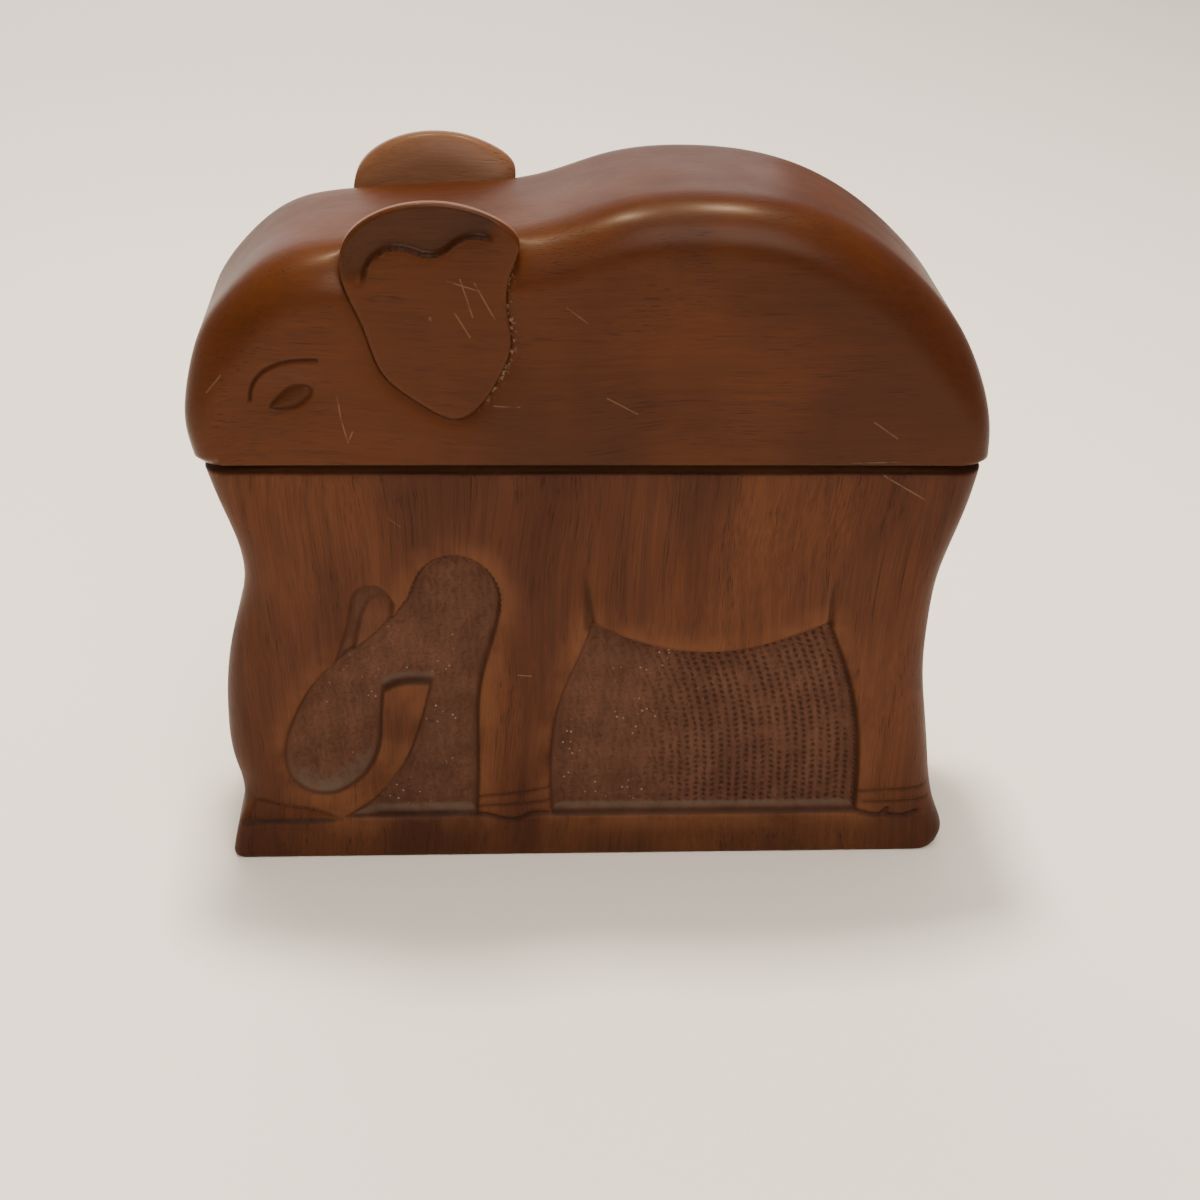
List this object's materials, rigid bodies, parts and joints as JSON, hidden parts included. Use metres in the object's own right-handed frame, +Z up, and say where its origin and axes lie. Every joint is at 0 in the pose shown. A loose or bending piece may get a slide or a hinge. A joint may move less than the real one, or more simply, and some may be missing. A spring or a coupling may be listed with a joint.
{
  "type": "carved elephant box",
  "caption": "Hollow wooden box carved as a standing elephant in low relief, with a plinth under the feet and a lift-off lid formed by the head, ears and arched back.",
  "frame": {"origin": "centre of the underside of the plinth, on the surface that the box stands on", "axes": "+Z up, +X from the trunk towards the tail, -Y and +Y out of the two carved faces"},
  "size_m": [0.1796, 0.055, 0.166],
  "materials": {
    "upright_grain_wood": "waxed, satin",
    "level_grain_wood": "polished, semi-gloss"
  },
  "bodies": {
    "body": {"box_body": "upright_grain_wood"},
    "lid": {"lid": "level_grain_wood"}
  },
  "joints": [
    {"name": "lid_lift", "type": "slide", "parent": "body", "child": "lid", "axis": [0, 0, 1], "range_m": [0, 0.12]}
  ]
}
